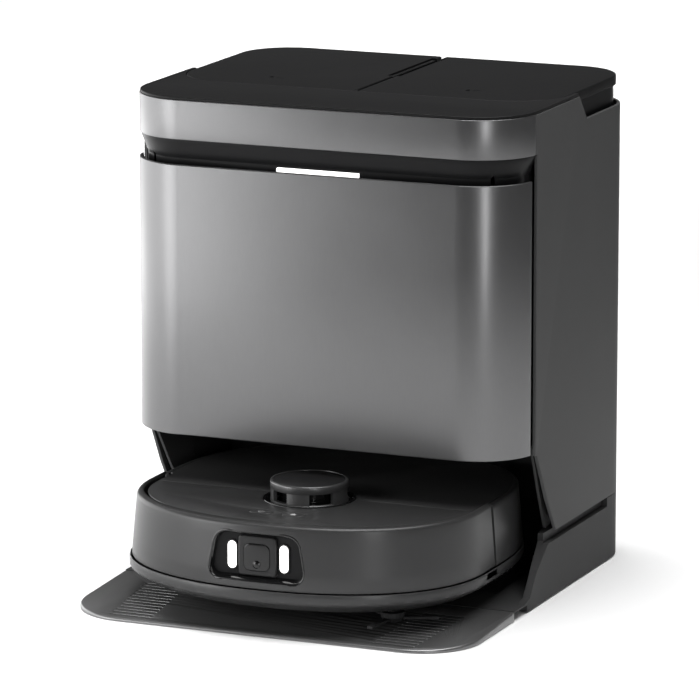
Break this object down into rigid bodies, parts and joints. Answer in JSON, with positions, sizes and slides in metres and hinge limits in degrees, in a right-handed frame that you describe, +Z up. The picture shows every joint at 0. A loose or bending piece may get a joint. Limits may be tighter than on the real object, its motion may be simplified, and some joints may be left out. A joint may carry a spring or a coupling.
{
  "type": "robot vacuum",
  "caption": "Robot vacuum and mop parked in its emptying and washing station, with lift-out water tanks, a pull-off front door and a driving robot.",
  "frame": {"origin": "middle of the footprint of station and ramp, on the floor", "axes": "+Z up, +Y towards the back of the station, +X to the right seen from the front, where the robot drives out"},
  "size_m": [0.395, 0.4626, 0.4665],
  "materials": {
    "station_graphite": "satin metallic paint over a moulded shell",
    "door_graphite": "fine brushed metallic paint, satin",
    "base_graphite": "fine textured moulding",
    "black_plastic": "fine textured moulding",
    "lid_black": "fine textured moulding",
    "gloss_black": "polished",
    "robot_graphite": "satin metallic paint over a moulded shell",
    "turret_silver": "satin metallic paint",
    "rubber_black": "matte",
    "clear_tank": "smooth translucent",
    "smoked_tank": "smooth translucent",
    "bag_paper": "non-woven",
    "white_plastic": "smooth",
    "light_white": "diffusing",
    "circuit_green": "solder mask",
    "contact_steel": "plated",
    "mop_fabric": "looped microfibre",
    "cell_pack": "shrink wrapped"
  },
  "bodies": {
    "root": {"base_tray": "base_graphite", "ramp_plate": "base_graphite", "washboard": "black_plastic", "front_foot_strip": "rubber_black", "rear_foot_strip": "rubber_black", "outer_shell": "station_graphite", "rear_cover": "black_plastic", "power_inlet": "black_plastic", "bay_liner": "base_graphite", "bag_bay": "black_plastic", "recess_trim": "gloss_black", "light_bar": "light_white", "top_deck": "lid_black", "tank_bay": "black_plastic", "dust_bag": "bag_paper", "bag_collar": "white_plastic", "detergent_bottle": "white_plastic", "suction_motor": "black_plastic", "water_pump": "black_plastic", "dryer_fan": "black_plastic", "main_board": "circuit_green", "evac_seal": "rubber_black", "left_contact": "contact_steel", "right_contact": "contact_steel"},
    "door": {"front_door": "door_graphite"},
    "clean_tank": {"clean_tank": "clear_tank"},
    "clean_lid": {"clean_tank_lid": "lid_black"},
    "dirty_tank": {"dirty_tank": "smoked_tank"},
    "dirty_lid": {"dirty_tank_lid": "lid_black"},
    "robot": {"robot_chassis": "robot_graphite", "brush_guard": "black_plastic", "robot_rear_shell": "robot_graphite", "front_deck": "robot_graphite", "turret_base": "black_plastic", "turret_cap": "turret_silver", "dust_bin": "smoked_tank", "battery": "cell_pack", "fan_motor": "black_plastic", "robot_board": "circuit_green"},
    "bumper": {"bumper": "robot_graphite", "camera_window": "gloss_black", "camera_pod": "robot_graphite", "left_fill_light": "light_white", "right_fill_light": "light_white"},
    "cover": {"top_cover": "robot_graphite"},
    "power_key": {"power_button": "robot_graphite"},
    "home_key": {"home_button": "robot_graphite"},
    "lidar": {"lidar_rotor": "gloss_black"},
    "left_arm": {"left_wheel_arm": "black_plastic"},
    "right_arm": {"right_wheel_arm": "black_plastic"},
    "left_wheel": {"left_drive_wheel": "rubber_black"},
    "right_wheel": {"right_drive_wheel": "rubber_black"},
    "caster": {"caster_fork": "black_plastic"},
    "caster_roller": {"caster_wheel": "rubber_black"},
    "roller": {"roller_brush": "rubber_black"},
    "edge_brush": {"side_brush": "black_plastic"},
    "left_mop": {"left_mop_plate": "black_plastic", "left_mop_pad": "mop_fabric"},
    "right_mop": {"right_mop_plate": "black_plastic", "right_mop_pad": "mop_fabric"}
  },
  "joints": [
    {"name": "door_pull", "type": "slide", "parent": "root", "child": "door", "axis": [0, -1, 0], "range_m": [0, 0.09]},
    {"name": "clean_tank_lift", "type": "slide", "parent": "root", "child": "clean_tank", "axis": [0, 0, 1], "range_m": [0, 0.16]},
    {"name": "clean_lid_hinge", "type": "hinge", "parent": "clean_tank", "child": "clean_lid", "pos_m": [-0.096, 0.22775, 0.457], "axis": [-1, 0, 0], "range_deg": [0, 100]},
    {"name": "dirty_tank_lift", "type": "slide", "parent": "root", "child": "dirty_tank", "axis": [0, 0, 1], "range_m": [0, 0.16]},
    {"name": "dirty_lid_hinge", "type": "hinge", "parent": "dirty_tank", "child": "dirty_lid", "pos_m": [0.096, 0.22775, 0.457], "axis": [-1, 0, 0], "range_deg": [0, 100]},
    {"name": "robot_drive_out", "type": "slide", "parent": "root", "child": "robot", "axis": [0, -1, 0], "range_m": [0, 0.4]},
    {"name": "bumper_press", "type": "slide", "parent": "robot", "child": "bumper", "axis": [0, 1, 0], "range_m": [0, 0.003], "stiffness_N_per_m": 300, "springref_m": -0.004},
    {"name": "cover_lift", "type": "slide", "parent": "robot", "child": "cover", "axis": [0, 0, 1], "range_m": [0, 0.04]},
    {"name": "power_button_press", "type": "slide", "parent": "robot", "child": "power_key", "axis": [0, 0, -1], "range_m": [0, 0.0006], "stiffness_N_per_m": 400, "springref_m": -0.002},
    {"name": "home_button_press", "type": "slide", "parent": "robot", "child": "home_key", "axis": [0, 0, -1], "range_m": [0, 0.0006], "stiffness_N_per_m": 400, "springref_m": -0.002},
    {"name": "lidar_spin", "type": "hinge", "parent": "robot", "child": "lidar", "pos_m": [0, -0.10225, 0.1], "axis": [0, 0, 1], "continuous": true},
    {"name": "left_suspension", "type": "hinge", "parent": "robot", "child": "left_arm", "pos_m": [-0.115, -0.03725, 0.0451], "axis": [-1, 0, 0], "range_deg": [0, 8], "stiffness_Nm_per_rad": 0.6, "springref_deg": -11.46},
    {"name": "left_wheel_spin", "type": "hinge", "parent": "left_arm", "child": "left_wheel", "pos_m": [-0.115, -0.09255, 0.0451], "axis": [1, 0, 0], "continuous": true},
    {"name": "right_suspension", "type": "hinge", "parent": "robot", "child": "right_arm", "pos_m": [0.115, -0.03725, 0.0451], "axis": [-1, 0, 0], "range_deg": [0, 8], "stiffness_Nm_per_rad": 0.6, "springref_deg": -11.46},
    {"name": "right_wheel_spin", "type": "hinge", "parent": "right_arm", "child": "right_wheel", "pos_m": [0.115, -0.09255, 0.0451], "axis": [1, 0, 0], "continuous": true},
    {"name": "caster_swivel", "type": "hinge", "parent": "robot", "child": "caster", "pos_m": [0, -0.18925, 0.034], "axis": [0, 0, 1], "continuous": true},
    {"name": "caster_roll", "type": "hinge", "parent": "caster", "child": "caster_roller", "pos_m": [0, -0.18325, 0.024], "axis": [1, 0, 0], "continuous": true},
    {"name": "roller_spin", "type": "hinge", "parent": "robot", "child": "roller", "pos_m": [0, -0.11225, 0.028], "axis": [1, 0, 0], "continuous": true},
    {"name": "edge_brush_spin", "type": "hinge", "parent": "robot", "child": "edge_brush", "pos_m": [0.112, -0.17125, 0.02], "axis": [0, 0, 1], "continuous": true},
    {"name": "left_mop_spin", "type": "hinge", "parent": "robot", "child": "left_mop", "pos_m": [-0.074, 0.04075, 0.02], "axis": [0, 0, 1], "continuous": true},
    {"name": "right_mop_spin", "type": "hinge", "parent": "robot", "child": "right_mop", "pos_m": [0.074, 0.04075, 0.02], "axis": [0, 0, 1], "continuous": true}
  ],
  "couplings": [
    {"joint": "right_mop_spin", "follows": "left_mop_spin", "ratio": -1}
  ]
}
